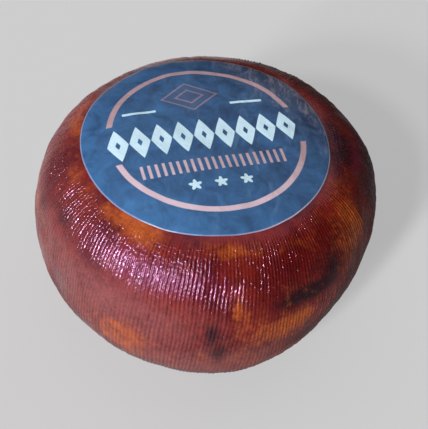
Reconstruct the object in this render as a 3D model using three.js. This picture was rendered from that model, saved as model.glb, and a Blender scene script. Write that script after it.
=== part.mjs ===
// A small whole cheese pressed in a cloth: a squat ball with a broad, nearly flat crown, a soft
// shoulder and a belly that rounds in to a small flat base. A round film label lies on the crown.
// Millimetres, +Z up, the front faces -Y, and the origin is at the middle of the bounding box, on
// the surface that the cheese stands on.

import * as THREE from 'three';

// Body of the cheese
const ringMeanRadius = 85;       // plan radius of the widest ring, averaged round
const crownRise = 52;            // from the widest ring up to the crown
const bellyDrop = 52;            // from the widest ring down to where the round belly would end
const baseCut = 0.93;            // share of the belly drop that is left above the flat base
const crownPowers = { across: 5, up: 2.12 };    // of the upper outline, 2 and 2 are an ellipse
const bellyPowers = { across: 1.7, up: 2.78 };  // of the lower outline

// The plan is a slight oval and a little three-sided: shares of the radius, angles in radians
const ovalShare = 0.027;
const ovalTurn = -0.6;
const eggShare = 0.017;
const eggTurn = 0.24;

// Soft dents and swellings of a hand-turned cheese: angle up the outline and angle round from the
// front, both in degrees, and the share of the radius that is lost or gained in the middle
const slumps = [
  { up: -20, round: 60, share: -0.032 },
  { up: 50, round: 140, share: -0.035 },
  { up: 50, round: -110, share: -0.021 },
  { up: 45, round: -60, share: 0.021 },
  { up: -15, round: 15, share: 0.014 },
];
const slumpSpread = 30;          // degrees from the middle to where a third is left

// Round label on the crown
const labelRadius = 57.6;
const labelCentre = { x: -6.1, y: -2.6 };
const labelThickness = 0.5;
const labelGap = 0.35;           // clearance between the rind and the label's back

// Fineness of the meshes
const azimuthSteps = 72;
const crownSteps = 18;
const bellySteps = 11;
const labelRings = 8;

const baseDrop = bellyDrop * baseCut;
const baseAngle = -Math.asin(baseCut ** (bellyPowers.up / 2));

// Plan radius of the widest ring in the direction ph, an angle round from the front towards +X.
function ringRadius(ph) {
  const oval = ovalShare * Math.cos(2 * (ph - ovalTurn));
  const egg = eggShare * Math.cos(3 * (ph - eggTurn));
  return ringMeanRadius * (1 + oval + egg);
}

// Share of the radius that the slumps add at one point, fading out towards the crown's middle.
function slumpShare(t, ph) {
  const degrees = THREE.MathUtils.radToDeg;
  let share = 0;
  for (const slump of slumps) {
    const above = (degrees(t) - slump.up) / slumpSpread;
    const turn = THREE.MathUtils.euclideanModulo(degrees(ph) - slump.round + 180, 360) - 180;
    share += slump.share * Math.exp(-(above ** 2) - (turn / slumpSpread) ** 2);
  }
  return share * Math.cos(t) ** (2 / crownPowers.across);
}

// Plan distance of the rind: a superellipse outline, with powers of the cosine across and of the
// sine up. The angle t runs from baseAngle at the flat base, through 0 at the widest ring, to a
// quarter turn at the crown.
function planDistance(t, ph) {
  const powers = t > 0 ? crownPowers : bellyPowers;
  return ringRadius(ph) * Math.cos(t) ** (2 / powers.across) * (1 + slumpShare(t, ph));
}

function rindHeight(t) {
  const powers = t > 0 ? crownPowers : bellyPowers;
  const rise = t > 0 ? crownRise : -bellyDrop;
  return rise * Math.abs(Math.sin(t)) ** (2 / powers.up) + baseDrop;
}

function rindPoint(t, ph) {
  const plan = planDistance(t, ph);
  return [plan * Math.sin(ph), -plan * Math.cos(ph), rindHeight(t)];
}

// Height of the crown's surface over a plan position, found by halving the range of angles.
function crownHeight(x, y) {
  const ph = Math.atan2(x, -y);
  let low = 0;
  let high = Math.PI / 2;
  for (let step = 0; step < 40; step += 1) {
    const middle = (low + high) / 2;
    if (planDistance(middle, ph) > Math.hypot(x, y)) low = middle;
    else high = middle;
  }
  return rindHeight(high);
}

function geometryOf(points, faces) {
  const geometry = new THREE.BufferGeometry();
  geometry.setAttribute('position', new THREE.Float32BufferAttribute(points.flat(), 3));
  geometry.setIndex(faces.flat());
  geometry.computeVertexNormals();
  return geometry;
}

// Triangles between two closed rings of points, the second one lying above or inside the first.
function band(first, second, count) {
  const faces = [];
  for (let i = 0; i < count; i += 1) {
    const j = (i + 1) % count;
    faces.push([first + i, first + j, second + j], [first + i, second + j, second + i]);
  }
  return faces;
}

// Triangles from a closed ring to one point, facing up as seen with the ring running forwards.
function fan(ring, tip, count) {
  const faces = [];
  for (let i = 0; i < count; i += 1) faces.push([ring + i, ring + ((i + 1) % count), tip]);
  return faces;
}

function flipped(faces) {
  return faces.map(([a, b, c]) => [a, c, b]);
}

// The whole cheese: rings from the base edge up to the crown, closed by a fan at each end.
function cheeseGeometry() {
  const points = [];
  const faces = [];
  const rows = bellySteps + crownSteps;
  for (let row = 0; row < rows; row += 1) {
    for (let i = 0; i < azimuthSteps; i += 1) {
      const ph = (2 * Math.PI * i) / azimuthSteps;
      const below = row < bellySteps;
      const climb = below ? 1 - row / bellySteps : 1 - (row - bellySteps) / crownSteps;
      const t = below ? baseAngle * climb : (Math.PI / 2) * (1 - climb ** 2);
      points.push(rindPoint(t, ph));
    }
    if (row > 0) faces.push(...band((row - 1) * azimuthSteps, row * azimuthSteps, azimuthSteps));
  }
  const baseMiddle = points.length;
  points.push([0, 0, 0]);
  points.push([0, 0, crownRise + baseDrop]);
  faces.push(...flipped(fan(0, baseMiddle, azimuthSteps)));
  faces.push(...fan((rows - 1) * azimuthSteps, baseMiddle + 1, azimuthSteps));
  return geometryOf(points, faces);
}

// The label: a back sheet and a face sheet that follow the crown, joined round the cut edge.
function labelGeometry() {
  const points = [];
  const faces = [];
  const sheetSize = labelRings * azimuthSteps + 1;
  for (const lift of [labelGap, labelGap + labelThickness]) {
    for (let ring = labelRings; ring > 0; ring -= 1) {
      for (let i = 0; i < azimuthSteps; i += 1) {
        const turn = (2 * Math.PI * i) / azimuthSteps;
        const x = labelCentre.x + labelRadius * (ring / labelRings) * Math.sin(turn);
        const y = labelCentre.y - labelRadius * (ring / labelRings) * Math.cos(turn);
        points.push([x, y, crownHeight(x, y) + lift]);
      }
    }
    points.push([labelCentre.x, labelCentre.y, crownHeight(labelCentre.x, labelCentre.y) + lift]);
  }
  for (const [start, turned] of [[0, true], [sheetSize, false]]) {
    const sheet = [];
    for (let ring = 1; ring < labelRings; ring += 1) {
      const outer = start + (ring - 1) * azimuthSteps;
      sheet.push(...band(outer, outer + azimuthSteps, azimuthSteps));
    }
    sheet.push(...fan(start + (labelRings - 1) * azimuthSteps, start + sheetSize - 1, azimuthSteps));
    faces.push(...(turned ? flipped(sheet) : sheet));
  }
  faces.push(...band(0, sheetSize, azimuthSteps));
  return geometryOf(points, faces);
}

function rindMaterial() {
  return new THREE.MeshStandardMaterial({ color: 0x7a2f22, roughness: 0.3, metalness: 0 });
}

function labelMaterial() {
  return new THREE.MeshStandardMaterial({ color: 0x42648c, roughness: 0.35, metalness: 0 });
}

function namedMesh(name, geometry, material) {
  const mesh = new THREE.Mesh(geometry, material);
  mesh.name = name;
  return mesh;
}

const cheeseOfCloth = new THREE.Group();
const cheese = namedMesh('cheese', cheeseGeometry(), rindMaterial());
const label = namedMesh('label', labelGeometry(), labelMaterial());
cheeseOfCloth.add(cheese, label);

// The group is slid sideways so that the middle of the cheese's box stands over the origin.
const middle = new THREE.Box3().setFromObject(cheese).getCenter(new THREE.Vector3());
cheeseOfCloth.position.set(-middle.x, -middle.y, 0);

export default cheeseOfCloth;
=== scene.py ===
import math

import bpy
import numpy as np
from mathutils import Matrix, Vector


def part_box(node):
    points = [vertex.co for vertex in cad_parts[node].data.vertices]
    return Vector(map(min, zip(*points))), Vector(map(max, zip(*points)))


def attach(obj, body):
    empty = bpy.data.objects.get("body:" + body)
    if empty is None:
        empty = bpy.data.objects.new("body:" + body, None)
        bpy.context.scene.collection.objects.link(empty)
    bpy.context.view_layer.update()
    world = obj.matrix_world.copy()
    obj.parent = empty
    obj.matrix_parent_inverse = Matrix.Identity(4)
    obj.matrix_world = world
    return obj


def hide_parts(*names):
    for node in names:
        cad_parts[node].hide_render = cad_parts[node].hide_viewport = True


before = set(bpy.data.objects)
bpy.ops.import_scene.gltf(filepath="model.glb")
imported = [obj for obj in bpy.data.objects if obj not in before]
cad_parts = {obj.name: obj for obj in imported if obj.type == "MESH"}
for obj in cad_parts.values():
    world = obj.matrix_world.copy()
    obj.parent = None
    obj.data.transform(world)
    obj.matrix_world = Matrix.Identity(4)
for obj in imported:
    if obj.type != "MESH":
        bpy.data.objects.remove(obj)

scene = bpy.context.scene
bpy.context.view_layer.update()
cheeseLow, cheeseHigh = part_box("cheese")
labelLow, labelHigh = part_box("label")
labelMiddle = (labelLow + labelHigh) / 2
labelRadius = (labelHigh.x - labelLow.x) / 2
mm = 0.001
print("frame loaded: one cheese with its label")

# The smooth ball, in shares of its mean ring radius. A climb is the angle up its outline, from
# below 0 at the flat base, through 0 at the widest ring, to a quarter turn at the crown. A turn is
# counted round from the front, towards +X.
ball = {
    "crownAcross": 5.0, "crownUp": 2.12,      # powers of the outline above the widest ring
    "bellyAcross": 1.7, "bellyUp": 2.78,      # and below it
    "baseCut": 0.93,                          # share of the belly's full drop kept above the base
    "ovalShare": 0.027, "ovalTurn": -0.6,
    "eggShare": 0.017, "eggTurn": 0.24,
    # slumps: degrees of climb, degrees of turn, share of the radius
    "slumps": [(-20, 60, -0.032), (50, 140, -0.035), (50, -110, -0.021),
               (45, -60, 0.021), (-15, 15, 0.014)],
    "slumpSpread": 30,                        # degrees
}
height = cheeseHigh.z - cheeseLow.z
crownRise = height / (1 + ball["baseCut"])      # the crown rises as far as the belly would drop
ringHeight = height - crownRise
baseClimb = -math.asin(ball["baseCut"] ** (ball["bellyUp"] / 2))


# Degrees from a middle to a turn, the shorter way round.
def degreesBeside(turn, middle):
    return (np.degrees(turn) - middle + 180) % 360 - 180


# Share of the mean radius = (1 + oval + egg) x cos(climb)^(2/across) x (1 + slumps), where each
# slump is a Gaussian dent or swelling that fades to nothing in the middle of the crown.
def planShare(climb, turn):
    oval = ball["ovalShare"] * np.cos(2 * (turn - ball["ovalTurn"]))
    egg = ball["eggShare"] * np.cos(3 * (turn - ball["eggTurn"]))
    across = np.where(climb > 0, ball["crownAcross"], ball["bellyAcross"])
    slump = 0.0
    for atClimb, atTurn, share in ball["slumps"]:
        above = (np.degrees(climb) - atClimb) / ball["slumpSpread"]
        beside = degreesBeside(turn, atTurn) / ball["slumpSpread"]
        slump = slump + share * np.exp(-above ** 2 - beside ** 2)
    cosine = np.maximum(np.cos(climb), 1e-9)
    fading = slump * cosine ** (2 / ball["crownAcross"])
    return (1 + oval + egg) * cosine ** (2 / across) * (1 + fading)


# The mean radius and the middle of the plan come from the CAD solid's box.
allTurns = np.linspace(-math.pi, math.pi, 721)
sideClimbs = np.linspace(baseClimb, 1.2, 120)      # up to well above the widest place
widest = planShare(sideClimbs[:, None], allTurns)
widestX, widestY = widest * np.sin(allTurns), -widest * np.cos(allTurns)
ringRadius = (cheeseHigh.x - cheeseLow.x) / np.ptp(widestX)
ballAxis = np.array([
    (cheeseLow.x + cheeseHigh.x) / 2 - ringRadius * (widestX.max() + widestX.min()) / 2,
    (cheeseLow.y + cheeseHigh.y) / 2 - ringRadius * (widestY.max() + widestY.min()) / 2,
])


# A point of the smooth ball: the plan share along its turn, and rise x sin(climb)^(2/up).
def ballPoint(climb, turn):
    plan = ringRadius * planShare(climb, turn)
    up = np.where(climb > 0, ball["crownUp"], ball["bellyUp"])
    rise = crownRise * np.sign(climb) * np.abs(np.sin(climb)) ** (2 / up)
    x = ballAxis[0] + plan * np.sin(turn)
    y = ballAxis[1] - plan * np.cos(turn)
    return np.stack([x, y, cheeseLow.z + ringHeight + rise + 0 * turn], -1)


# The outward normal: the cross product of a small step along the turn and one up the outline.
def ballNormal(climb, turn):
    step = 1e-4
    along = ballPoint(climb, turn + step) - ballPoint(climb, turn - step)
    upward = ballPoint(climb + step, turn) - ballPoint(climb - step, turn)
    normal = np.cross(along, upward)
    return normal / np.maximum(np.linalg.norm(normal, axis=-1, keepdims=True), 1e-15)


# Height of the smooth crown over a plan position, found by halving the range of climbs.
def crownHeight(x, y):
    plan = np.hypot(x - ballAxis[0], y - ballAxis[1])
    turn = np.arctan2(x - ballAxis[0], ballAxis[1] - y)
    low, high = np.zeros_like(plan), np.full_like(plan, math.pi / 2)
    for _ in range(40):
        middle = (low + high) / 2
        outside = ringRadius * planShare(middle, turn) > plan
        low, high = np.where(outside, middle, low), np.where(outside, high, middle)
    return ballPoint(high, turn)[..., 2]


# Smooth unevenness, mostly within -1 to 1: the sum of sine waves in random directions, each with a
# wavelength of 0.7 to 1.4 times the one given.
def unevenness(points, wavelength, seed, waves=16):
    draw = np.random.RandomState(seed)
    total = 0.0
    for _ in range(waves):
        direction = draw.normal(size=3)
        direction *= 2 * math.pi / (wavelength * np.linalg.norm(direction) * draw.uniform(0.7, 1.4))
        total = total + np.sin(points @ direction + draw.uniform(0, 2 * math.pi))
    spread = math.sqrt(waves / 2)          # the usual size of the sum
    return total / spread / 1.6


# 0 below low, 1 above high, and 3 s^2 - 2 s^3 of the way s between them.
def smoothStep(low, high, value):
    share = np.clip((value - low) / (high - low), 0, 1)
    return share * share * (3 - 2 * share)


lumps = [(0.35 * mm, 38 * mm, 11), (0.10 * mm, 13 * mm, 12)]     # height, size, seed of the draw


# Low lumps that the rind and the label share: each height x its own unevenness, added up.
def lumpHeight(points):
    return sum(high * unevenness(points, size, seed) for high, size, seed in lumps)


view = {
    "elevation": 0.838,          # radians above the level
    "roll": 0.17,                # radians, the ball's axis leans to the right
    "distance": 5.0,             # ring radii from the middle of the ball
    "lens": 70.4,                # millimetres on Blender's 36 mm sensor
    "aimRight": 0.0346,          # ring radii from the middle of the ball to the aim
    "aimUp": -0.0417,
    "clip": (0.01, 20),          # metres
}


def makeCamera():
    middle = Vector((ballAxis[0], ballAxis[1], cheeseLow.z + ringHeight))
    sine, cosine = math.sin(view["elevation"]), math.cos(view["elevation"])
    back = Vector((0, -cosine, sine))
    level, upright = Vector((1, 0, 0)), Vector((0, sine, cosine))
    right = math.cos(view["roll"]) * level + math.sin(view["roll"]) * upright
    up = math.cos(view["roll"]) * upright - math.sin(view["roll"]) * level
    place = middle + back * view["distance"] * ringRadius
    aim = middle + (right * view["aimRight"] + up * view["aimUp"]) * ringRadius
    backward = (place - aim).normalized()
    right = up.cross(backward).normalized()
    up = backward.cross(right)
    camera = bpy.data.objects.new("camera", bpy.data.cameras.new("camera"))
    camera.matrix_world = Matrix((
        (right.x, up.x, backward.x, place.x),
        (right.y, up.y, backward.y, place.y),
        (right.z, up.z, backward.z, place.z),
        (0, 0, 0, 1),
    ))
    camera.data.lens = view["lens"]
    camera.data.clip_start, camera.data.clip_end = view["clip"]
    scene.collection.objects.link(camera)
    scene.camera = camera


makeCamera()
print("camera placed")


# Shader helpers: a socket is linked or set, a node comes with its settings and inputs, and calc is
# one step of arithmetic.
def feed(tree, socket, value):
    if isinstance(value, bpy.types.NodeSocket):
        tree.links.new(value, socket)
    else:
        socket.default_value = value


def addNode(tree, kind, inputs=None, **settings):
    made = tree.nodes.new(kind)
    for key, value in settings.items():
        setattr(made, key, value)
    for key, value in (inputs or {}).items():
        feed(tree, made.inputs[key], value)
    return made


def calc(tree, operation, *values, clamp=False):
    made = addNode(tree, "ShaderNodeMath", dict(enumerate(values)), operation=operation,
                   use_clamp=clamp)
    return made.outputs[0]


# A smooth step from low to high, which may run downwards.
def ramp(tree, value, low, high, fromValue=0.0, toValue=1.0):
    made = addNode(tree, "ShaderNodeMapRange", {
        "Value": value, "From Min": low, "From Max": high, "To Min": fromValue, "To Max": toValue,
    }, interpolation_type="SMOOTHSTEP")
    return made.outputs["Result"]


def mixColour(tree, share, first, second, blend="MIX"):
    made = addNode(tree, "ShaderNodeMix", data_type="RGBA", blend_type=blend)
    for key, value in (("Factor", share), ("A", first), ("B", second)):
        socket = [s for s in made.inputs if s.name == key and s.enabled][0]
        feed(tree, socket, value)
    return [s for s in made.outputs if s.enabled][0]


# Noise of 0 to 1, its scale counted per unit of the vector.
def noise(tree, vector, scale, detail=3.0, roughness=0.5, distortion=0.0):
    made = addNode(tree, "ShaderNodeTexNoise", {
        "Vector": vector, "Scale": scale, "Detail": detail, "Roughness": roughness,
        "Distortion": distortion,
    })
    return made.outputs["Fac"]


def axes(tree, vector):
    return addNode(tree, "ShaderNodeSeparateXYZ", {"Vector": vector}).outputs


def vectorLength(tree, vector):
    made = addNode(tree, "ShaderNodeVectorMath", {0: vector}, operation="LENGTH")
    return made.outputs["Value"]


def objectPlace(tree):
    return addNode(tree, "ShaderNodeTexCoord").outputs["Object"]


def mapPlace(tree, name):
    return addNode(tree, "ShaderNodeUVMap", uv_map=name).outputs["UV"]


def attribute(tree, name):
    return addNode(tree, "ShaderNodeAttribute", attribute_name=name).outputs["Fac"]


def newGroup(name, inputs, outputs):
    group = bpy.data.node_groups.new(name, "ShaderNodeTree")
    for label, kind, value in inputs:
        socket = group.interface.new_socket(label, in_out="INPUT", socket_type=kind)
        if value is not None:
            socket.default_value = value
    for label in outputs:
        group.interface.new_socket(label, in_out="OUTPUT", socket_type="NodeSocketFloat")
    entry = group.nodes.new("NodeGroupInput")
    leave = group.nodes.new("NodeGroupOutput")
    return group, entry.outputs, leave.inputs


def useGroup(tree, group, inputs):
    return addNode(tree, "ShaderNodeGroup", inputs, node_tree=group).outputs


def newMaterial(name, constants):
    material = bpy.data.materials.new(name)
    material.use_nodes = True
    tree = material.node_tree
    shader = tree.nodes["Principled BSDF"]
    for key, value in constants.items():
        shader.inputs[key].default_value = value
    return material, tree, shader


table = {
    "reach": 30,                 # ring radii from the middle to each side
    "grey": (0.24, 0.24, 0.24, 1),
    "glow": 0.385,
    "leftDim": 0.0,              # share of the floor's light that the reflections lose
    "rightDim": 0.78,
    "cardReach": 0.11,           # metres either side of the middle
}


# The floor glows a little, like a sweep that is lit from below. A mirror ray sees it dimmer, and
# darkest to the right, as beside a black studio card.
def makeFloor():
    size = table["reach"] * ringRadius
    corners = [(-size, -size), (size, -size), (size, size), (-size, size)]
    mesh = bpy.data.meshes.new("floor")
    mesh.from_pydata([(x, y, cheeseLow.z) for x, y in corners], [], [(0, 1, 2, 3)])
    floor = bpy.data.objects.new("floor", mesh)
    scene.collection.objects.link(floor)
    material, tree, shader = newMaterial("paleFloor", {
        "Base Color": table["grey"], "Roughness": 0.8, "Specular IOR Level": 0.2,
        "Emission Color": (1, 1, 1, 1), "Emission Strength": table["glow"],
    })
    card = ramp(tree, axes(tree, objectPlace(tree))["X"], -table["cardReach"], table["cardReach"],
                table["leftDim"], table["rightDim"])
    mirrored = addNode(tree, "ShaderNodeLightPath").outputs["Is Glossy Ray"]
    dimmed = addNode(tree, "ShaderNodeMixShader", {
        0: calc(tree, "MULTIPLY", mirrored, card),
        1: shader.outputs[0],
        2: addNode(tree, "ShaderNodeEmission", {"Strength": 0.0}).outputs[0],
    })
    tree.links.new(dimmed.outputs[0], tree.nodes["Material Output"].inputs["Surface"])
    mesh.materials.append(material)


# Each light is a soft disc a long way off: degrees round from the front, degrees up, its width in
# degrees, its strength and its colour. The window has three panes, one above the other.
studio = {
    "paneLow": (-29, 15, 5.5, 1.62, (0.99, 0.97, 1.0)),
    "paneMiddle": (-29, 25, 5.5, 1.62, (0.99, 0.97, 1.0)),
    "paneHigh": (-29, 35, 5.5, 1.62, (0.99, 0.97, 1.0)),
    "ceiling": (175, 62, 70, 0.50, (1.0, 1.0, 1.0)),
}
surroundings = {
    "dim": (0.035, 0.035, 0.035, 1),
    "bright": (0.36, 0.345, 0.36, 1),
    "brightSide": (-0.90, -0.25, 0.10),
    "dimTo": -0.4,               # about the cosine of the angle from the bright side
    "brightFrom": 0.9,
    "backdrop": (0.60, 0.60, 0.60, 1),
}


def makeLight(name, turn, up, width, strength, colour):
    turn, up = math.radians(turn), math.radians(up)
    back = Vector((math.sin(turn) * math.cos(up), -math.cos(turn) * math.cos(up), math.sin(up)))
    data = bpy.data.lights.new(name, "SUN")
    data.angle = math.radians(width)
    data.energy = strength
    data.color = colour
    light = bpy.data.objects.new(name, data)
    light.location = back * 20 * ringRadius
    light.rotation_mode = "QUATERNION"
    light.rotation_quaternion = back.to_track_quat("Z", "Y")
    scene.collection.objects.link(light)


# The room round the cheese: a smooth change from its dim side to its bright side.
def makeStudio():
    for name, values in studio.items():
        makeLight(name, *values)
    world = bpy.data.worlds.new("studio")
    world.use_nodes = True
    tree = world.node_tree
    outward = addNode(tree, "ShaderNodeTexCoord").outputs["Generated"]
    facing = addNode(tree, "ShaderNodeVectorMath", {0: outward, 1: surroundings["brightSide"]},
                     operation="DOT_PRODUCT").outputs["Value"]
    share = ramp(tree, facing, surroundings["dimTo"], surroundings["brightFrom"])
    colour = mixColour(tree, share, surroundings["dim"], surroundings["bright"])
    seen = addNode(tree, "ShaderNodeLightPath").outputs["Is Camera Ray"]
    colour = mixColour(tree, seen, colour, surroundings["backdrop"])
    feed(tree, tree.nodes["Background"].inputs["Color"], colour)
    scene.world = world
    scene.view_settings.view_transform = "Standard"
    scene.view_settings.look = "None"


makeFloor()
makeStudio()
print("floor and lights placed")


# Soft-edged blotches: a smooth step of noise from 1 - cover - edge to 1 - cover + edge.
def makeMottle():
    group, entry, leave = newGroup("mottle", [
        ("Vector", "NodeSocketVector", None),
        ("Size", "NodeSocketFloat", 0.01),
        ("Cover", "NodeSocketFloat", 0.5),
        ("Edge", "NodeSocketFloat", 0.1),
    ], ["Mask"])
    scale = calc(group, "DIVIDE", 1.0, entry["Size"])
    cloud = noise(group, entry["Vector"], scale, detail=4.0, roughness=0.55, distortion=0.6)
    limit = calc(group, "SUBTRACT", 1.0, entry["Cover"])
    low = calc(group, "SUBTRACT", limit, entry["Edge"])
    high = calc(group, "ADD", limit, entry["Edge"])
    feed(group, leave["Mask"], ramp(group, cloud, low, high))
    return group


# Fine grain: 0.6 of noise of the given size, and 0.4 of noise about three times as coarse.
def makeGrain():
    group, entry, leave = newGroup("grain", [
        ("Vector", "NodeSocketVector", None),
        ("Size", "NodeSocketFloat", 0.0005),
    ], ["Height"])
    scale = calc(group, "DIVIDE", 1.0, entry["Size"])
    coarser = calc(group, "MULTIPLY", scale, 0.3)
    fine = noise(group, entry["Vector"], scale, detail=2.0, roughness=0.6)
    coarse = noise(group, entry["Vector"], coarser, detail=2.0)
    total = calc(group, "MULTIPLY_ADD", fine, 0.6, calc(group, "MULTIPLY", coarse, 0.4))
    feed(group, leave["Height"], total)
    return group


mottle = makeMottle()
grain = makeGrain()
print("shared shader effects made")


rind = {
    "ribs": 290,                 # round the widest ring, pressed in by the knitted cloth
    "columnsPerRib": 6,
    "rows": 52,                  # from the base to just under the label
    "bellyShare": 0.46,          # share of those rows that lie below the widest ring
    "topRow": 0.60,              # share of the radius at the last of them
    "sparseRows": (0.35, 0.06),  # further rows, in shares of the climb that is left to the top
    "ribHeight": 0.31 * mm,
    "ribSharpness": 0.65,        # below 1 the ridges are round and the grooves narrow
    "ribFoot": 0.55,             # share of a rib's height that lies below the smooth ball
    "uneven": 0.40,              # share by which a rib swells and sinks along its way
    "swellings": (6, 14),        # radians of its sine for each radian of climb, from and to
    "wander": 0.45,              # ribs that a rib drifts sideways
    "wanderSize": 55 * mm,
    "quickWander": 0.35,         # of that, added by a quicker unevenness
    "quickSize": 16 * mm,
    "pressed": 0.82,             # how deep the cloth pressed, as a share of the rib height
    "pressUneven": 0.30,
    "pressSize": 22 * mm,
    "pressMost": 1.3,
    "thickCoat": 0.32,           # share of the ribs that a thick coat fills
    "deeper": 0.40,              # and how much deeper they are where the cloth pressed hard
    "smoothBand": 6 * mm,        # beside the label's edge, where the coat fills the ribs
    "bandUneven": 0.5,           # share by which that band widens and narrows
    "bandSize": 30 * mm,
    "baseBand": 5 * mm,          # above the flat base, where the ribs fade in

    # kind, degrees of climb, degrees of turn, how tall and how wide in degrees, lean, strength;
    # the kinds thick and deep set how deep the ribs are, and the others colour the rind: the haze
    # kind paints a hazy reflection of the floor, plum the purple sheen of the glints, and dark
    # holds dark stains and one painted shadow
    "stains": [
        ("amber", 60, -26, 6, 12, 0.0, 1.0),
        ("amber", 58, -38, 5, 7, 0.0, 0.6),
        ("amber", 61, 12, 4, 11, 0.0, 0.7),
        ("amber", 57, 33, 3, 9, 0.0, 0.30),
        ("amber", 1, -20, 9, 10, 0.0, 0.90),
        ("amber", 12, 31, 10, 15, 0.0, 0.95),
        ("amber", -3, 18, 7, 20, 0.0, 0.36),
        ("amber", 42, 66, 28, 12, 0.0, 0.70),
        ("amber", 56, -62, 6, 14, 0.0, 0.3),
        ("amber", 29, 14, 8, 1.6, 0.0, 0.65),
        ("amber", 26, 17, 6, 1.2, 0.0, 0.6),
        ("darkAndShadow", 28, 40, 6, 14, -0.05, 1.25),
        ("darkAndShadow", 34, 49, 9, 8, 0.0, 0.95),
        ("darkAndShadow", -2, 39, 4.5, 12, 0.0, 0.70),
        ("darkAndShadow", 15, 7, 8, 3.0, 0.0, 0.90),
        ("darkAndShadow", 3, 10, 8, 3.2, 0.0, 0.90),
        ("darkAndShadow", 38, -52, 13, 10, 0.0, 0.60),
        ("darkAndShadow", 68, 98, 9, 24, 0.0, 1.0),
        ("darkAndShadow", 40, 100, 18, 14, 0.0, 0.7),
        ("darkAndShadow", 16, 72, 14, 14, 0.0, 0.3),
        ("darkAndShadow", 62, 135, 9, 26, 0.0, 0.6),
        ("darkAndShadow", 47, -48, 7, 8, 0.0, 0.4),
        # painted shadow: a dark band just outside the label's right edge
        ("darkAndShadow", 71, 48, 4, 26, 0.0, 0.75),
        ("wine", 49, 32, 17, 18, 0.0, 1.0),
        ("wine", 63, -2, 4, 10, 0.0, 0.6),
        ("wine", -12, 0, 5, 60, 0.0, 0.6),
        ("wine", 45, -78, 13, 18, 0.0, 0.4),
        # painted sheen: the plum patches give the purple of the glints and a bluish sheen high on
        # the right
        ("plumSheen", 42, -14, 10, 26, 0.0, 0.9),
        ("plumSheen", 57, 98, 9, 12, 0.0, 0.6),
        # painted reflection: pale pinkish haze of the floor's reflection, on a rind that is also
        # rougher there
        ("hazeReflection", 14, -26, 19, 38, 0.0, 1.0),
        ("hazeReflection", 10, 32, 9, 16, 0.0, 0.9),
        ("hazeReflection", 10, 48, 14, 18, 0.0, 0.80),
        ("hazeReflection", -4, 14, 9, 40, 0.0, 1.1),
        ("thick", 43, -18, 12, 19, 0.0, 1.0),
        ("deep", 41, -58, 14, 11, 0.0, 0.7),
        ("deep", 38, 19, 11, 9, 0.0, 0.35),
    ],
    # the back has stains of its own, each drawn at random between these values
    "backStains": {
        "count": 22,
        "kinds": ["amber", "amber", "darkAndShadow", "wine"],
        "turn": (115, 285), "climb": (-35, 62),
        "tall": (5, 14), "wide": (6, 22),
        "lean": (-0.3, 0.3), "strength": (0.4, 0.9),
    },
    # how ragged each kind of stain, or painted patch of sheen, reflection or shadow, is at its
    # edge, in the order in which they lie on each other
    "ragged": {"wine": 0.6, "plumSheen": 0.8, "hazeReflection": 0.6, "darkAndShadow": 0.9, "amber": 1.3},
    "stainEdge": (0.08, 1.0),    # the shares of a stain between which its colour sets in

    "mahogany": (0.190, 0.0150, 0.0065, 1),
    "wine": (0.100, 0.0030, 0.0022, 1),
    "amber": (0.410, 0.0850, 0.0095, 1),
    # painted sheen colour: the purple of the glints
    "plumSheen": (0.138, 0.0070, 0.0370, 1),
    # dark stains, and the painted shadow beside the label
    "darkAndShadow": (0.020, 0.0025, 0.0035, 1),
    # painted reflection colour: the floor's hazy reflection in the lacquer
    "hazeReflection": (0.210, 0.0500, 0.0430, 1),
    # painted shade: this colour darkens the rind between the rib crests
    "grooveShade": (0.50, 0.38, 0.36, 1),         # these three multiply what lies under them
    "spots": (0.52, 0.42, 0.42, 1),
    "flecks": (0.45, 0.36, 0.40, 1),
    "grooveShadeShare": 0.55, "spotsShare": 0.45, "flecksShare": 0.40,
    "spotSize": 5 * mm, "spotCover": 0.45,
    "fleckSize": 1.1 * mm, "fleckCover": 0.48,
    "speckleEdge": 0.10,

    "broadScale": 34.0,          # noise scales, per metre
    "middleScale": 95.0,
    "flowScale": 150.0,
    "wineEdge": (0.38, 0.62),    # the broad noise between which mahogany turns to wine
    "printDepth": 0.60 * mm,     # of the cloth's print, whose beads, stitches and grit are shares
    "beads": 0.08, "beadsPerRib": 1.05, "beadPush": 2.4,
    "stitches": 1.25, "stitchDraw": 0.85,     # below 1 the stitches are drawn out along the rib
    "grit": 0.12, "gritScale": 2.6,
    "grainSize": 0.6 * mm, "grain": 0.05,
    "smoothest": 0.06,           # roughness, to which unevenness is added, and more where the painted haze reflection lies
    "rougher": 0.12, "hazeReflectionRougher": 0.12,
    "lacquer": {
        "IOR": 1.52, "Coat Weight": 0.12, "Coat Roughness": 0.5,
        "Specular Tint": (1.0, 0.62, 1.0, 1),
    },
}
columnCount = rind["ribs"] * rind["columnsPerRib"]
ribPitch = 2 * math.pi / rind["ribs"]


def drawBackStains():
    draw = np.random.RandomState(5)
    spans = rind["backStains"]
    made = []
    for _ in range(spans["count"]):
        kind = draw.choice(spans["kinds"])
        turn = draw.uniform(*spans["turn"])
        climb = draw.uniform(*spans["climb"])
        rest = [draw.uniform(*spans[key]) for key in ("tall", "wide", "lean", "strength")]
        made.append((kind, climb, turn, *rest))
    return made


stains = rind["stains"] + drawBackStains()


# The strongest of a kind's Gaussian spots in climb and turn, each sheared by its lean.
def stainShare(kind, climb, turn):
    total = np.zeros(np.broadcast(climb, turn).shape)
    for label, atClimb, atTurn, tall, wide, lean, strength in stains:
        if label != kind:
            continue
        above = np.degrees(climb) - atClimb
        beside = degreesBeside(turn, atTurn)
        spot = np.exp(-((above - lean * beside) / tall) ** 2 - (beside / wide) ** 2)
        total = np.maximum(total, strength * spot)
    return total


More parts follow.
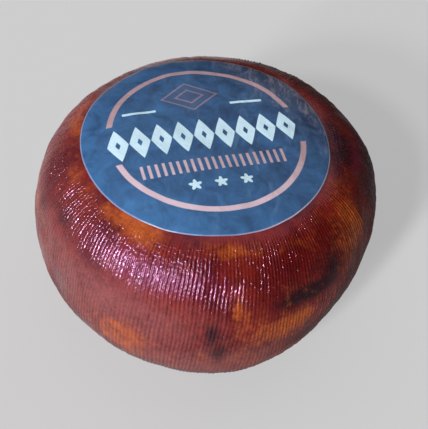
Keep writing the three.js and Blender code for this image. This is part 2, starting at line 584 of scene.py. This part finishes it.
# Quads between the rows of a grid whose last column joins its first.
def gridFaces(rowCount, columns):
    row, column = np.meshgrid(np.arange(rowCount - 1), np.arange(columns), indexing="ij")
    beside = (column + 1) % columns
    quads = np.stack([row * columns + column, row * columns + beside,
                      (row + 1) * columns + beside, (row + 1) * columns + column], -1)
    return quads.reshape(-1, 4)


# Triangles from a row of the grid to a tip, which close its end.
def ringFan(first, tip, columns, turned):
    column = np.arange(columns)
    beside = (column + 1) % columns
    pair = (beside, column) if turned else (column, beside)
    return np.stack([first + pair[0], first + pair[1], np.full(columns, tip)], -1)


def makeObject(name, points, quads, triangles, material):
    mesh = bpy.data.meshes.new(name)
    loops = np.concatenate([quads.ravel(), triangles.ravel()]).astype(np.int32)
    counts = np.concatenate([np.full(len(quads), 4), np.full(len(triangles), 3)])
    starts = np.concatenate([[0], np.cumsum(counts)[:-1]]).astype(np.int32)
    mesh.vertices.add(len(points))
    mesh.vertices.foreach_set("co", points.astype(np.float32).ravel())
    mesh.loops.add(len(loops))
    mesh.loops.foreach_set("vertex_index", loops)
    mesh.polygons.add(len(counts))
    mesh.polygons.foreach_set("loop_start", starts)
    mesh.update(calc_edges=True)
    mesh.shade_smooth()
    mesh.materials.append(material)
    piece = bpy.data.objects.new(name, mesh)
    scene.collection.objects.link(piece)
    return piece, loops


def storeShare(mesh, name, values):
    layer = mesh.attributes.new(name, "FLOAT", "POINT")
    layer.data.foreach_set("value", values.astype(np.float32).ravel())


def storeMap(mesh, name, values):
    layer = mesh.uv_layers.new(name=name, do_init=False)
    layer.uv.foreach_set("vector", values.astype(np.float32).ravel())


# Climbs of the rows: even steps up the belly, then a quarter turn x (1 - (1 - s)^2), s growing
# evenly to the label's edge, and the sparse rows under the label.
def rindRows():
    quarter = math.pi / 2
    underLabel = math.acos(rind["topRow"] ** (ball["crownAcross"] / 2))
    bellyRows = int(rind["rows"] * rind["bellyShare"])
    lower = baseClimb * (1 - np.linspace(0, 1, bellyRows, endpoint=False))
    share = np.linspace(0, 1, rind["rows"] - bellyRows)
    fromTop = 1 - math.sqrt(1 - underLabel / quarter)
    upper = quarter * (1 - (1 - share * fromTop) ** 2)
    hidden = quarter - (quarter - underLabel) * np.array(rind["sparseRows"])
    return np.concatenate([lower, upper, hidden])[:, None]


# Turns of the columns: even all round, then each pushed aside by a slow unevenness and a quicker
# one. The seam is at the back.
def rindTurns(climb, column):
    straight = (2 * math.pi * column / columnCount - math.pi)[None, :]
    smooth = ballPoint(climb, straight)
    drift = unevenness(smooth, rind["wanderSize"], 21)
    drift = drift + rind["quickWander"] * unevenness(smooth, rind["quickSize"], 22)
    return straight + rind["wander"] * ribPitch * drift


# How deep the cloth pressed: 0 beside the label and at the base, and between them the share
# pressed + an unevenness, times 1 + the deep stains - the thick ones.
def ribPress(climb, turn, smooth):
    edge = np.hypot(smooth[..., 0] - labelMiddle.x, smooth[..., 1] - labelMiddle.y) - labelRadius
    edge = np.where(climb > 0, edge, 1.0)
    bandUneven = rind["bandUneven"] * unevenness(smooth, rind["bandSize"], 23)
    band = rind["smoothBand"] * (1 + bandUneven)
    pressed = smoothStep(0.1, 1.0, edge / band)
    pressed *= rind["pressed"] + rind["pressUneven"] * unevenness(smooth, rind["pressSize"], 24)
    deeper = rind["deeper"] * stainShare("deep", climb, turn)
    filled = rind["thickCoat"] * stainShare("thick", climb, turn)
    pressed *= 1 + deeper - filled
    pressed *= smoothStep(cheeseLow.z, cheeseLow.z + rind["baseBand"], smooth[..., 2])
    return np.clip(pressed, 0, rind["pressMost"])


# A rib's own swelling: 1 + uneven x a sine of the climb, with a phase and a pace drawn for it.
def ribSwelling(climb, column):
    draw = np.random.RandomState(41)
    phase = draw.uniform(0, 2 * math.pi, rind["ribs"])
    pace = draw.uniform(*rind["swellings"], rind["ribs"])
    rib = (column + rind["columnsPerRib"] // 2) // rind["columnsPerRib"] % rind["ribs"]
    return 1 + rind["uneven"] * np.sin(phase[rib] + pace[rib] * climb)


# The rib map: u counts ribs round the ball, and v is the way up the outline in rib widths. A face
# across the seam counts on from the last rib, and a tip's u lies between its two neighbours'.
def storeRibMap(mesh, loops, quadCount, smooth, column):
    out = np.hypot(smooth[..., 0] - ballAxis[0], smooth[..., 1] - ballAxis[1]).mean(1)
    up = smooth[..., 2].mean(1)
    way = np.concatenate([[0], np.cumsum(np.hypot(np.diff(out), np.diff(up)))])
    ribAt = np.concatenate([np.tile(column / rind["columnsPerRib"], len(way)), [0, 0]])
    wayAt = np.concatenate([np.repeat(way, columnCount), [0, way[-1]]]) / (ringRadius * ribPitch)
    u, v = ribAt[loops], wayAt[loops]
    corners = loops[:quadCount * 4].reshape(-1, 4) % columnCount
    past = (corners == 0) & (corners.max(1) == columnCount - 1)[:, None]
    u[:quadCount * 4] += rind["ribs"] * past.ravel()
    fans = u[quadCount * 4:].reshape(-1, 3)
    seam = np.abs(fans[:, 0] - fans[:, 1]) > rind["ribs"] / 2
    fans[seam] = np.where(fans[seam] == 0, rind["ribs"], fans[seam])
    fans[:, 2] = (fans[:, 0] + fans[:, 1]) / 2
    storeMap(mesh, "ribMap", np.stack([u, v], -1))


# The rind: ball point + normal x (lumps + ribs). A rib is a raised cosine of the column, to a
# power, times its swelling and how deep the cloth pressed there.
def makeCheese(material):
    column = np.arange(columnCount)
    climb = rindRows()
    turn = rindTurns(climb, column)
    smooth = ballPoint(climb, turn)
    normal = ballNormal(np.minimum(climb, math.pi / 2 - 0.002), turn)     # never quite at the top
    pressed = ribPress(climb, turn, smooth)
    ridge = 0.5 + 0.5 * np.cos(2 * math.pi * column / rind["columnsPerRib"])
    ridge = np.maximum(ridge, 0) ** rind["ribSharpness"]
    profile = ridge * ribSwelling(climb, column) - rind["ribFoot"]
    ribs = rind["ribHeight"] * pressed * profile
    points = smooth + normal * (ribs + lumpHeight(smooth))[..., None]
    points[..., 2] = np.maximum(points[..., 2], cheeseLow.z)
    points[0, :, 2] = cheeseLow.z

    rowCount = len(climb)
    tips = np.array([[ballAxis[0], ballAxis[1], cheeseLow.z],
                     [ballAxis[0], ballAxis[1], cheeseHigh.z]])
    tips[1, 2] += lumpHeight(tips)[1]
    quads = gridFaces(rowCount, columnCount)
    baseTip = rowCount * columnCount
    fans = np.concatenate([
        ringFan(0, baseTip, columnCount, True),
        ringFan((rowCount - 1) * columnCount, baseTip + 1, columnCount, False),
    ])
    every = np.concatenate([points.reshape(-1, 3), tips])
    cheese, loops = makeObject("wholeCheese", every, quads, fans, material)
    storeRibMap(cheese.data, loops, len(quads), smooth, column)

    shares = {"crest": ridge * np.clip(pressed, 0, 1), "pressed": pressed}
    for kind in rind["ragged"]:
        shares[kind] = stainShare(kind, climb, turn)
    for name, values in shares.items():
        storeShare(cheese.data, name, np.append(values.ravel(), [0, 0]))     # 0 at the two tips
    return cheese


# Print of the knitted cloth. Rib coordinates are wrapped round a cylinder whose girth is the
# number of ribs, so that nothing breaks at the map's seam. Height = beads (a sine of the way along
# the rib, pushed to and fro by the stitches) + stitches (noise a little drawn out along the rib)
# + grit (finer noise).
def makeStitches():
    group, entry, leave = newGroup("stitches", [
        ("Map", "NodeSocketVector", None),
        ("Beads", "NodeSocketFloat", 0.3),
        ("Stitches", "NodeSocketFloat", 1.0),
        ("Grit", "NodeSocketFloat", 0.4),
    ], ["Height"])
    place = axes(group, entry["Map"])
    radius = rind["ribs"] / (2 * math.pi)
    turn = calc(group, "DIVIDE", place["X"], radius)
    wrapped = addNode(group, "ShaderNodeCombineXYZ", {
        "X": calc(group, "MULTIPLY", calc(group, "SINE", turn), radius),
        "Y": calc(group, "MULTIPLY", calc(group, "COSINE", turn), radius),
        "Z": place["Y"],
    }).outputs[0]
    drawnOut = addNode(group, "ShaderNodeVectorMath", {
        0: wrapped, 1: (1.0, 1.0, rind["stitchDraw"]),
    }, operation="MULTIPLY").outputs[0]
    stitch = noise(group, drawnOut, 1.0, detail=2.0, roughness=0.55)
    grit = noise(group, wrapped, rind["gritScale"], detail=1.0)
    beadsAlong = calc(group, "MULTIPLY", place["Y"], rind["beadsPerRib"])
    pushed = calc(group, "MULTIPLY_ADD", stitch, rind["beadPush"], beadsAlong)
    bead = calc(group, "SINE", calc(group, "MULTIPLY", pushed, 2 * math.pi))
    height = calc(group, "MULTIPLY", stitch, entry["Stitches"])
    height = calc(group, "MULTIPLY_ADD", bead, entry["Beads"], height)
    height = calc(group, "MULTIPLY_ADD", grit, entry["Grit"], height)
    feed(group, leave["Height"], height)
    return group


# The rind's colour: mahogany and wine by broad noise, the stains over them with painted patches of
# sheen, reflection and shadow among them, then spots and flecks, and painted shade in the grooves
# between the ribs.
def rindColour(tree, place, middling):
    broad = noise(tree, place, rind["broadScale"], detail=4.0, roughness=0.55, distortion=0.5)
    flow = noise(tree, place, rind["flowScale"], detail=4.0, roughness=0.65, distortion=2.0)
    colour = mixColour(tree, ramp(tree, broad, *rind["wineEdge"]), rind["mahogany"], rind["wine"])
    blur = calc(tree, "SUBTRACT", calc(tree, "ADD", middling, flow), 1.0)
    for kind, reach in rind["ragged"].items():
        ragged = calc(tree, "MULTIPLY_ADD", blur, reach, attribute(tree, kind))
        colour = mixColour(tree, ramp(tree, ragged, *rind["stainEdge"]), colour, rind[kind])
    away = calc(tree, "SUBTRACT", 1.0, attribute(tree, "crest"))
    masks = {
        "spots": useGroup(tree, mottle, {
            "Vector": place, "Size": rind["spotSize"], "Cover": rind["spotCover"],
            "Edge": rind["speckleEdge"],
        })["Mask"],
        "flecks": useGroup(tree, mottle, {
            "Vector": place, "Size": rind["fleckSize"], "Cover": rind["fleckCover"],
            "Edge": rind["speckleEdge"],
        })["Mask"],
        # painted shade between the rib crests, where the cloth pressed
        "grooveShade": calc(tree, "MULTIPLY", away, attribute(tree, "pressed"), clamp=True),
    }
    for name, mask in masks.items():
        share = calc(tree, "MULTIPLY", mask, rind[name + "Share"])
        colour = mixColour(tree, share, colour, rind[name], "MULTIPLY")
    return colour


def makeRindMaterial():
    material, tree, shader = newMaterial("lacqueredRind", rind["lacquer"])
    place = objectPlace(tree)
    middling = noise(tree, place, rind["middleScale"], detail=4.0, roughness=0.6, distortion=0.4)
    feed(tree, shader.inputs["Base Color"], rindColour(tree, place, middling))

    stitches = useGroup(tree, makeStitches(), {
        "Map": mapPlace(tree, "ribMap"), "Beads": rind["beads"], "Stitches": rind["stitches"],
        "Grit": rind["grit"],
    })["Height"]
    fine = useGroup(tree, grain, {"Vector": place, "Size": rind["grainSize"]})["Height"]
    height = calc(tree, "MULTIPLY", stitches, attribute(tree, "pressed"))
    height = calc(tree, "MULTIPLY_ADD", fine, rind["grain"], height)
    bump = addNode(tree, "ShaderNodeBump", {
        "Height": height, "Strength": 1.0, "Distance": rind["printDepth"],
    })
    feed(tree, shader.inputs["Normal"], bump.outputs["Normal"])

    rough = calc(tree, "MULTIPLY_ADD", middling, rind["rougher"], rind["smoothest"])
    rough = calc(tree, "MULTIPLY_ADD", attribute(tree, "hazeReflection"), rind["hazeReflectionRougher"], rough)
    feed(tree, shader.inputs["Roughness"], rough)
    return material


cheese = makeCheese(makeRindMaterial())
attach(cheese, "root")
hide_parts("cheese")
print("cheese made:", len(cheese.data.polygons), "faces")


film = {
    "meshRings": 64, "meshSteps": 288,
    "ringSpacing": 0.8,          # a power; below 1 the rings are closer towards the edge
    "thickness": 0.22 * mm,
    "clearance": 0.12 * mm,
    "ripple": 0.10 * mm, "rippleSize": 11 * mm,
    "rippleSink": -0.06 * mm,    # the lowest that a ripple goes
    "crease": 0.05 * mm, "creaseSize": 9 * mm,

    # the print, in shares of the label's radius, on axes turned with it: u across, v up
    "printTurn": 23.0,           # degrees that the print is turned on the crown
    "ring": 0.777, "ringHalf": 0.023, "gapMiddle": 0.012, "gapHalf": 0.205,
    "lozenges": 9, "lozengePitch": 0.1735, "rowMiddle": (-0.026, 0.0),
    "lozengeHalf": (0.083, 0.168), "lozengeBulge": 1.08, "hollow": 0.22,
    "strokes": 21, "strokePitch": 0.0565, "strokesMiddle": (-0.030, -0.318),
    "strokeHalf": (0.0115, 0.066),
    "rosettes": 3, "rosettePitch": 0.205, "rosettesMiddle": (-0.031, -0.515),
    "rosette": 0.040, "lobes": 5.0, "lobeShare": 0.32,
    "dashPlaces": [-0.482, 0.422], "dashUp": 0.327, "dashHalf": (0.138, 0.0125),
    "badgeMiddle": (-0.030, 0.455), "badgeHalf": (0.235, 0.165), "badgeLine": 0.055,
    "badgeInk": 0.45, "badgeField": 0.6,     # how strongly its lines and its field are printed

    "slate": (0.008, 0.031, 0.090, 1),
    "bright": (0.041, 0.152, 0.345, 1),
    "streak": (0.065, 0.150, 0.290, 1),
    "crinkleSheen": (0.190, 0.165, 0.190, 1),       # a painted pale reflection on the crinkles
    # painted shade between the crinkles
    "shaded": (0.035, 0.045, 0.070, 1),
    "salmon": (0.415, 0.270, 0.290, 1),
    # painted highlight: the pink ink as it pales at the front
    "pink": (0.60, 0.455, 0.510, 1),
    "white": (0.56, 0.78, 0.88, 1),
    "badge": (0.060, 0.095, 0.19, 1),
    "paleEdge": (0.46, 0.40, 0.50, 1),

    # a step has the noise at which a mask starts and is full; a span has two places from -1 to 1,
    # across the label or towards its back, and at times the values there
    "brightness": 0.36,          # in the middle: 0 is slate, 1 is bright
    "rightShade": -0.15,         # painted shade, added to it at the right edge, and taken off at the left
    "backwards": -0.20,
    "blotches": 0.18, "blotchSize": 22 * mm,
    "clouds": 1.5, "cloudScale": 120.0,      # noise scales, per metre
    "streakTurn": 40.0,          # degrees, the way the film's creases run
    "streakDraw": 0.35,          # below 1 the streaks are drawn out along that way
    "streakScale": 150.0, "streakStep": (0.56, 0.72),
    "streakSpan": (-0.9, 0.7, 0.25, 0.75),
    "crinkleRight": 0.45, "crinkleBack": 0.62,     # how the crinkled zone grows towards the right and the back
    "crinkleRagged": 0.8, "crinkleZoneStep": (0.42, 0.85), "crinkleZoneShare": 0.85,
    "crinkleScale": 330.0, "crinkleStep": (0.40, 0.66),
    "pinkSpan": (0.1, -0.6),     # salmon at the first place, pink paled by a painted highlight at the second
    "edgeBand": 0.50 * mm,       # unprinted film at the cut edge
    "edgeSpan": (0.2, 0.8, 0.30, 1.0),
    "wrinkleScale": 110.0,
    "streakBump": 0.12, "crinkleBump": 0.45,
    "grainBump": 0.08, "grainSize": 1.2 * mm,
    "bumpDepth": 0.5 * mm, "bumpStrength": 0.8,
    "smoothest": 0.20, "rougher": 0.25,      # roughness, and what the clouds add to it
}


# The label: a disc over the crown, its height crown + lumps + clearance + ripples that grow
# towards the edge + creases. Two sheets, a cut edge between them.
def makeLabel(material):
    rings, steps = film["meshRings"], film["meshSteps"]
    share = np.linspace(1, 0, rings, endpoint=False)[:, None] ** film["ringSpacing"]
    turn = (2 * math.pi * np.arange(steps) / steps)[None, :]
    x = np.append((labelMiddle.x + labelRadius * share * np.sin(turn)).ravel(), labelMiddle.x)
    y = np.append((labelMiddle.y - labelRadius * share * np.cos(turn)).ravel(), labelMiddle.y)
    under = np.stack([x, y, crownHeight(x, y)], -1)
    out = np.append((share + 0 * turn).ravel(), 0)
    ripple = film["ripple"] * unevenness(under, film["rippleSize"], 31) * smoothStep(0.7, 1.0, out)
    ripple = np.maximum(ripple, film["rippleSink"])
    crease = film["crease"] * unevenness(under, film["creaseSize"], 32)
    lift = lumpHeight(under) + film["clearance"] + ripple + film["crease"] + crease
    back = under + np.array([0, 0, 1]) * lift[:, None]
    face = back + np.array([0, 0, film["thickness"]])

    count = rings * steps + 1
    sheet = gridFaces(rings, steps)
    tip = ringFan((rings - 1) * steps, count - 1, steps, False)
    step = np.arange(steps)
    beside = (step + 1) % steps
    rim = np.stack([step, beside, beside + count, step + count], -1)
    quads = np.concatenate([sheet[:, ::-1], sheet + count, rim])
    fans = np.concatenate([tip[:, [1, 0, 2]], tip + count])
    label, loops = makeObject("roundLabel", np.concatenate([back, face]), quads, fans, material)
    flat = np.stack([(x - labelMiddle.x) / labelRadius, (y - labelMiddle.y) / labelRadius], -1)
    storeMap(label.data, "labelMap", np.concatenate([flat, flat])[loops])
    return label


# 1 inside the half width, 0 outside it.
def within(tree, value, half, blur=0.004):
    return ramp(tree, calc(tree, "ABSOLUTE", value), half + blur, half - blur)


# Place within a row of equal cells about a middle, and a mask that keeps so many of them.
def rowCells(tree, u, middle, pitch, count):
    away = calc(tree, "SUBTRACT", u, middle)
    odd = 0.5 if count % 2 else 0.0
    counted = calc(tree, "MULTIPLY_ADD", away, 1 / pitch, odd)
    cell = calc(tree, "SUBTRACT", calc(tree, "FRACT", counted), 0.5)
    return calc(tree, "MULTIPLY", cell, pitch), within(tree, away, count * pitch / 2, 0.001)


# Lozenge measure: |x / half width|^n + |y / half height|^n, 1 on its outline; above 1, the power n
# makes its sides bulge.
def lozengeMeasure(tree, x, y, half, bulge=1.0):
    wide = calc(tree, "DIVIDE", calc(tree, "ABSOLUTE", x), half[0])
    tall = calc(tree, "DIVIDE", calc(tree, "ABSOLUTE", y), half[1])
    return calc(tree, "ADD", calc(tree, "POWER", wide, bulge), calc(tree, "POWER", tall, bulge))


# A ring in two arcs: a band of the way out, less a band of v.
def ringMask(tree, out, v):
    ring = within(tree, calc(tree, "SUBTRACT", out, film["ring"]), film["ringHalf"])
    gap = within(tree, calc(tree, "SUBTRACT", v, film["gapMiddle"]), film["gapHalf"])
    return calc(tree, "MULTIPLY", ring, calc(tree, "SUBTRACT", 1.0, gap))


def lozengeRow(tree, u, v):
    middle = film["rowMiddle"]
    cell, kept = rowCells(tree, u, middle[0], film["lozengePitch"], film["lozenges"])
    measure = lozengeMeasure(tree, cell, calc(tree, "SUBTRACT", v, middle[1]),
                             film["lozengeHalf"], film["lozengeBulge"])
    solid = ramp(tree, measure, 1.03, 0.97)
    hollow = ramp(tree, measure, film["hollow"] - 0.03, film["hollow"] + 0.03)
    return calc(tree, "MULTIPLY", calc(tree, "MULTIPLY", solid, hollow), kept)


def strokeRow(tree, u, v):
    middle = film["strokesMiddle"]
    cell, kept = rowCells(tree, u, middle[0], film["strokePitch"], film["strokes"])
    strokes = calc(tree, "MULTIPLY", within(tree, cell, film["strokeHalf"][0]), kept)
    tall = within(tree, calc(tree, "SUBTRACT", v, middle[1]), film["strokeHalf"][1])
    return calc(tree, "MULTIPLY", strokes, tall)


# A rosette's edge = its radius x (1 + lobe share x a cosine of the angle round it x its lobes).
def rosetteRow(tree, u, v):
    middle, radius = film["rosettesMiddle"], film["rosette"]
    cell, kept = rowCells(tree, u, middle[0], film["rosettePitch"], film["rosettes"])
    rise = calc(tree, "SUBTRACT", v, middle[1])
    turn = calc(tree, "ARCTAN2", cell, rise)
    wave = calc(tree, "COSINE", calc(tree, "MULTIPLY", turn, film["lobes"]))
    edge = calc(tree, "MULTIPLY_ADD", wave, film["lobeShare"] * radius, radius)
    arrow = addNode(tree, "ShaderNodeCombineXYZ", {"X": cell, "Y": rise}).outputs[0]
    past = calc(tree, "SUBTRACT", vectorLength(tree, arrow), edge)
    return calc(tree, "MULTIPLY", ramp(tree, past, 0.004, -0.004), kept)


def dashMask(tree, u, v):
    level = calc(tree, "SUBTRACT", v, film["dashUp"])
    level = within(tree, level, film["dashHalf"][1], 0.003)
    total = 0.0
    for place in film["dashPlaces"]:
        dash = within(tree, calc(tree, "SUBTRACT", u, place), film["dashHalf"][0])
        total = calc(tree, "MAXIMUM", total, calc(tree, "MULTIPLY", dash, level))
    return total


# The badge: a plain lozenge field, and its outline with a smaller one inside it.
def badgeMasks(tree, u, v):
    middle, half = film["badgeMiddle"], film["badgeLine"]
    measure = lozengeMeasure(tree, calc(tree, "SUBTRACT", u, middle[0]),
                             calc(tree, "SUBTRACT", v, middle[1]), film["badgeHalf"])
    outer = within(tree, calc(tree, "SUBTRACT", measure, 1.0), half, 0.02)
    inner = within(tree, calc(tree, "SUBTRACT", measure, 0.5), half, 0.02)
    outline = calc(tree, "MULTIPLY", calc(tree, "MAXIMUM", outer, inner), film["badgeInk"])
    return ramp(tree, measure, 1.02, 0.98), outline


def makePrint():
    group, entry, leave = newGroup("labelPrint", [("Map", "NodeSocketVector", None)],
                                   ["Pink", "White", "Badge", "Out"])
    turned = addNode(group, "ShaderNodeMapping", {
        "Vector": entry["Map"], "Rotation": (0, 0, -math.radians(film["printTurn"])),
    })
    place = axes(group, turned.outputs["Vector"])
    u, v = place["X"], place["Y"]
    out = vectorLength(group, entry["Map"])
    field, outline = badgeMasks(group, u, v)
    pink = calc(group, "MAXIMUM", ringMask(group, out, v), strokeRow(group, u, v))
    pink = calc(group, "MAXIMUM", pink, outline)
    white = calc(group, "MAXIMUM", lozengeRow(group, u, v), rosetteRow(group, u, v))
    white = calc(group, "MAXIMUM", white, dashMask(group, u, v))
    for name, mask in (("Pink", pink), ("White", white), ("Badge", field), ("Out", out)):
        feed(group, leave[name], mask)
    return group


# Brightness of the blue film = its middle value + a painted shade to the right, lighter to the
# left,
# + a slope darker towards the back + blotches + clouds, and streaks over it that are stronger to
#   the right.
def filmColour(tree, place, across, back, cloud, streak):
    blotch = useGroup(tree, mottle, {
        "Vector": place, "Size": film["blotchSize"], "Cover": 0.5, "Edge": 0.2,
    })["Mask"]
    # painted shade towards the right edge, painted light towards the left
    bright = calc(tree, "MULTIPLY_ADD", across, film["rightShade"], film["brightness"])
    bright = calc(tree, "MULTIPLY_ADD", back, film["backwards"], bright)
    bright = calc(tree, "MULTIPLY_ADD", blotch, film["blotches"], bright)
    bright = calc(tree, "MULTIPLY_ADD", cloud, film["clouds"], bright, clamp=True)
    colour = mixColour(tree, bright, film["slate"], film["bright"])
    return mixColour(tree, streak, colour, film["streak"])


# The inks over the film: the badge's field, pink that pales towards the front as a painted
# highlight, and white.
def printColour(tree, colour, printed, back):
    field = calc(tree, "MULTIPLY", printed["Badge"], film["badgeField"])
    colour = mixColour(tree, field, colour, film["badge"])
    ink = mixColour(tree, ramp(tree, back, *film["pinkSpan"]), film["salmon"], film["pink"])
    colour = mixColour(tree, printed["Pink"], colour, ink)
    return mixColour(tree, printed["White"], colour, film["white"])


def makeLabelMaterial():
    material, tree, shader = newMaterial("printedFilm", {"IOR": 1.45})
    place, flat = objectPlace(tree), mapPlace(tree, "labelMap")
    sides = axes(tree, flat)
    across, back = sides["X"], sides["Y"]
    printed = useGroup(tree, makePrint(), {"Map": flat})
    cloudNoise = noise(tree, place, film["cloudScale"], detail=5.0, roughness=0.65, distortion=0.8)
    cloud = calc(tree, "SUBTRACT", cloudNoise, 0.5)
    slanted = addNode(tree, "ShaderNodeMapping", {
        "Vector": place, "Rotation": (0, 0, math.radians(film["streakTurn"])),
        "Scale": (1, film["streakDraw"], 1),
    }).outputs["Vector"]
    streakNoise = noise(tree, slanted, film["streakScale"], roughness=0.6, distortion=0.6)
    streak = ramp(tree, streakNoise, *film["streakStep"])
    streak = calc(tree, "MULTIPLY", streak, ramp(tree, across, *film["streakSpan"]))
    colour = filmColour(tree, place, across, back, cloud, streak)

    # the crinkled zone grows to the right and the back, and its crinkles are painted in light and
    # shade: a pale painted reflection over painted shade
    crinkleReach = calc(tree, "ADD", calc(tree, "MULTIPLY", across, film["crinkleRight"]),
                calc(tree, "MULTIPLY", back, film["crinkleBack"]))
    crinkleReach = calc(tree, "MULTIPLY_ADD", cloud, film["crinkleRagged"], crinkleReach)
    crinkleZone = ramp(tree, crinkleReach, *film["crinkleZoneStep"])
    crinkleNoise = noise(tree, slanted, film["crinkleScale"], roughness=0.6, distortion=1.5)
    crinkle = ramp(tree, crinkleNoise, *film["crinkleStep"])
    crinkleSheen = mixColour(tree, crinkle, film["shaded"], film["crinkleSheen"])
    colour = mixColour(tree, calc(tree, "MULTIPLY", crinkleZone, film["crinkleZoneShare"]), colour, crinkleSheen)
    colour = printColour(tree, colour, printed, back)

    # a pale cut edge, stronger on the right
    border = 1 - film["edgeBand"] / labelRadius
    cutEdge = ramp(tree, printed["Out"], border - 0.002, border + 0.002)
    cutEdge = calc(tree, "MULTIPLY", cutEdge, ramp(tree, across, *film["edgeSpan"]))
    colour = mixColour(tree, cutEdge, colour, film["paleEdge"])
    feed(tree, shader.inputs["Base Color"], colour)

    fine = useGroup(tree, grain, {"Vector": place, "Size": film["grainSize"]})["Height"]
    wrinkle = noise(tree, place, film["wrinkleScale"], distortion=0.8)
    crinkled = calc(tree, "MULTIPLY", crinkle, crinkleZone)
    height = calc(tree, "MULTIPLY_ADD", streak, film["streakBump"], wrinkle)
    height = calc(tree, "MULTIPLY_ADD", crinkled, film["crinkleBump"], height)
    height = calc(tree, "MULTIPLY_ADD", fine, film["grainBump"], height)
    bump = addNode(tree, "ShaderNodeBump", {
        "Height": height, "Strength": film["bumpStrength"], "Distance": film["bumpDepth"],
    })
    feed(tree, shader.inputs["Normal"], bump.outputs["Normal"])
    rough = calc(tree, "MULTIPLY_ADD", cloudNoise, film["rougher"], film["smoothest"])
    feed(tree, shader.inputs["Roughness"], rough)
    return material


label = makeLabel(makeLabelMaterial())
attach(label, "root")
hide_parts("label")
print("label made:", len(label.data.polygons), "faces")
